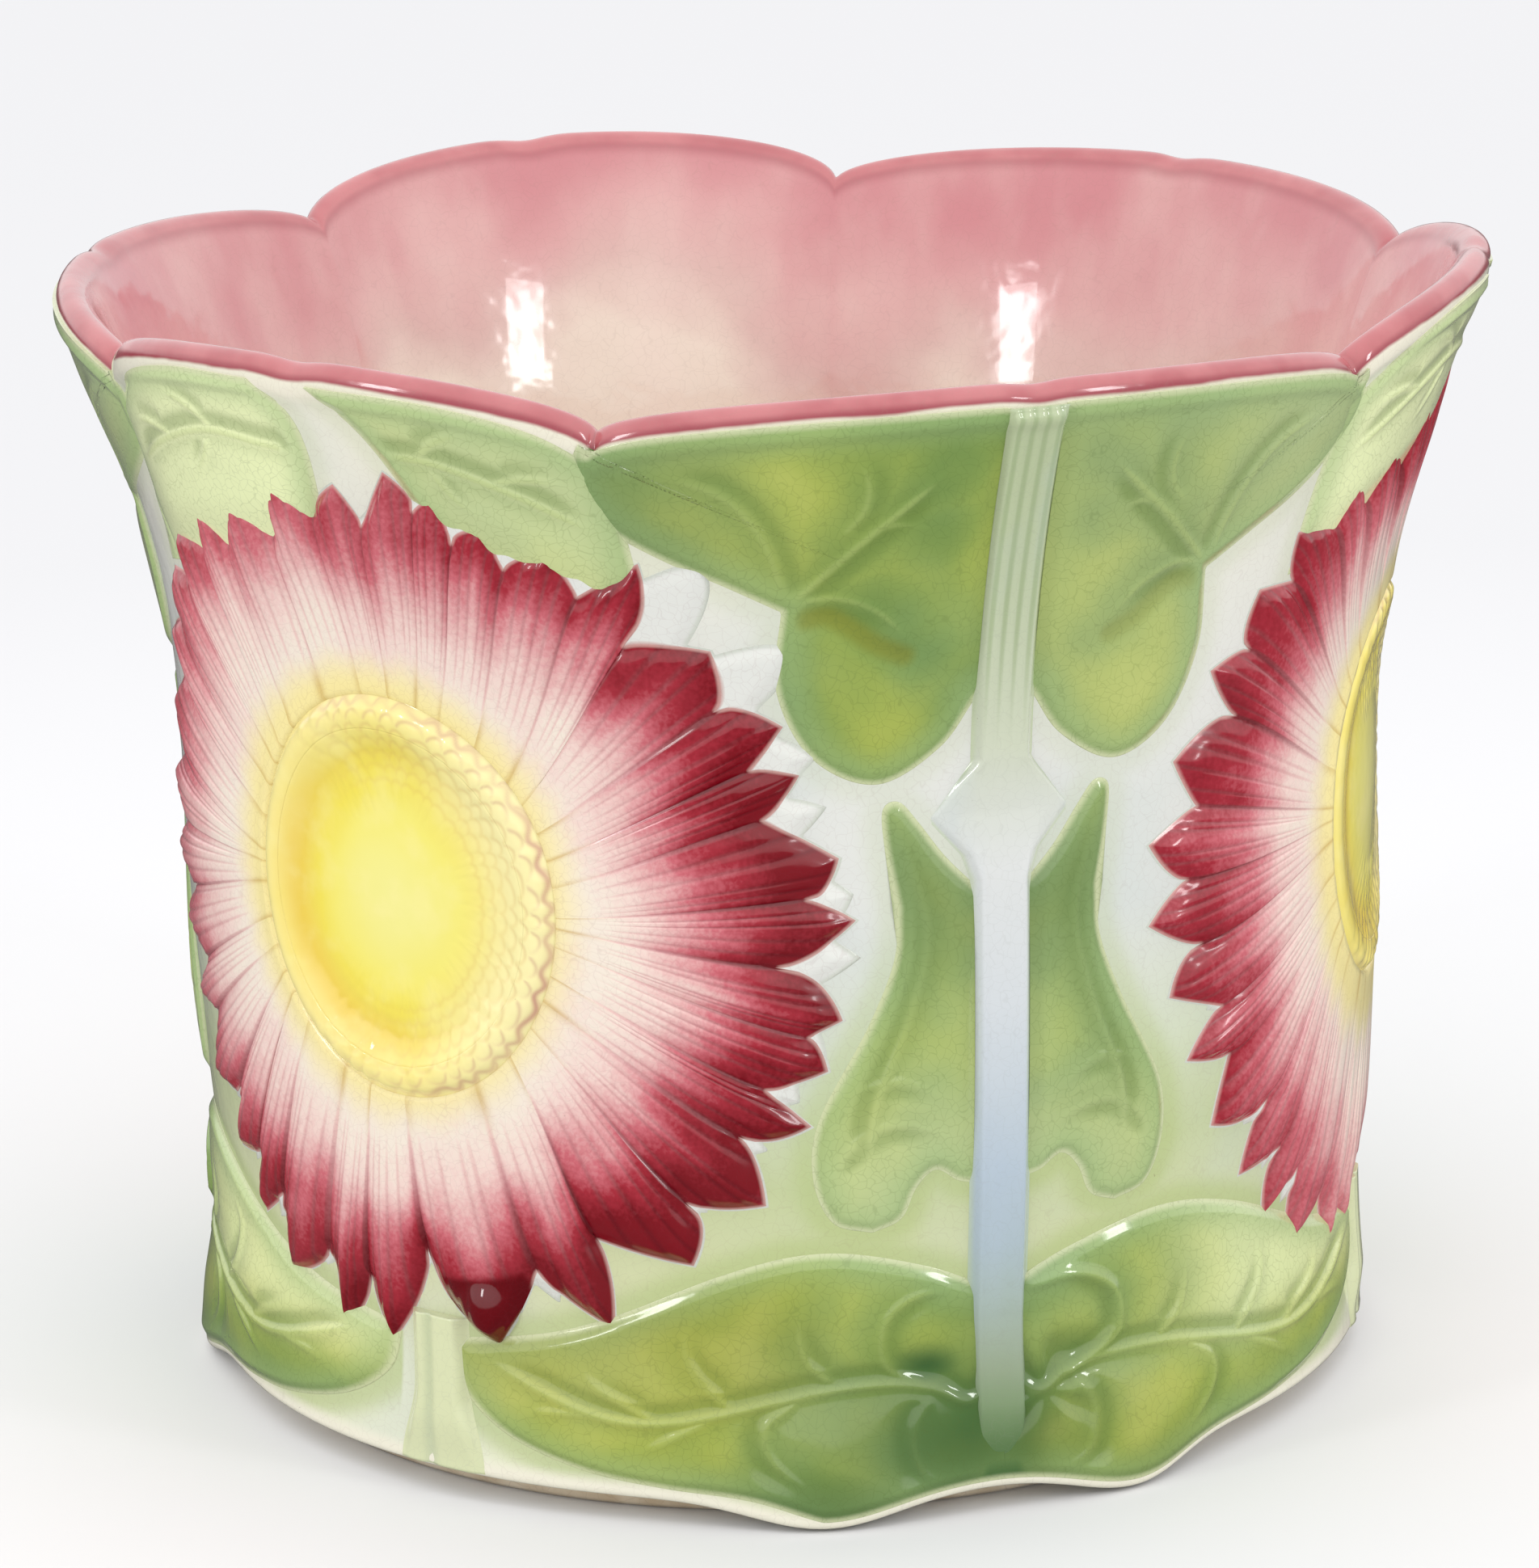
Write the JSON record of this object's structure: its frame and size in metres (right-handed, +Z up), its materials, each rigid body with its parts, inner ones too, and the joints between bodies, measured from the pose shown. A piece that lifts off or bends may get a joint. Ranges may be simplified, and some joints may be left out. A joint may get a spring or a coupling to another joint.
{
  "type": "ceramic cachepot",
  "caption": "Round glazed cover pot for a plant, open at the top, with a scalloped flaring rim and moulded flowers, stems and leaves round its wall.",
  "frame": {"origin": "middle of the foot's underside, on the surface that the pot stands on", "axes": "+Z up along the pot's axis, -Y towards the first flower's lobe of the rim, +X to its right"},
  "size_m": [0.232, 0.237, 0.1868],
  "materials": {
    "wall_glaze": "glossy rose glaze inside, pale glaze outside",
    "base_glaze": "glossy cream glaze",
    "petal_glaze": "glossy crimson glaze shading to white",
    "disc_glaze": "glossy yellow glaze",
    "stem_glaze": "glossy pale blue and green glaze",
    "leaf_glaze": "glossy green glaze with fine crazing"
  },
  "bodies": {
    "root": {"wall": "wall_glaze", "base": "base_glaze", "flower_petals_1": "petal_glaze", "flower_petals_2": "petal_glaze", "flower_petals_3": "petal_glaze", "flower_ring_1": "disc_glaze", "flower_ring_2": "disc_glaze", "flower_ring_3": "disc_glaze", "flower_disc_1": "disc_glaze", "flower_disc_2": "disc_glaze", "flower_disc_3": "disc_glaze", "flower_stalk_1": "stem_glaze", "flower_stalk_2": "stem_glaze", "flower_stalk_3": "stem_glaze", "crown_leaf_left_1": "leaf_glaze", "crown_leaf_left_2": "leaf_glaze", "crown_leaf_left_3": "leaf_glaze", "crown_leaf_right_1": "leaf_glaze", "crown_leaf_right_2": "leaf_glaze", "crown_leaf_right_3": "leaf_glaze", "stem_1": "stem_glaze", "stem_2": "stem_glaze", "stem_3": "stem_glaze", "upper_leaf_left_1": "leaf_glaze", "upper_leaf_left_2": "leaf_glaze", "upper_leaf_left_3": "leaf_glaze", "upper_leaf_right_1": "leaf_glaze", "upper_leaf_right_2": "leaf_glaze", "upper_leaf_right_3": "leaf_glaze", "middle_leaf_left_1": "leaf_glaze", "middle_leaf_left_2": "leaf_glaze", "middle_leaf_left_3": "leaf_glaze", "middle_leaf_right_1": "leaf_glaze", "middle_leaf_right_2": "leaf_glaze", "middle_leaf_right_3": "leaf_glaze", "bottom_leaf_left_1": "leaf_glaze", "bottom_leaf_left_2": "leaf_glaze", "bottom_leaf_left_3": "leaf_glaze", "bottom_leaf_right_1": "leaf_glaze", "bottom_leaf_right_2": "leaf_glaze", "bottom_leaf_right_3": "leaf_glaze"}
  },
  "joints": []
}
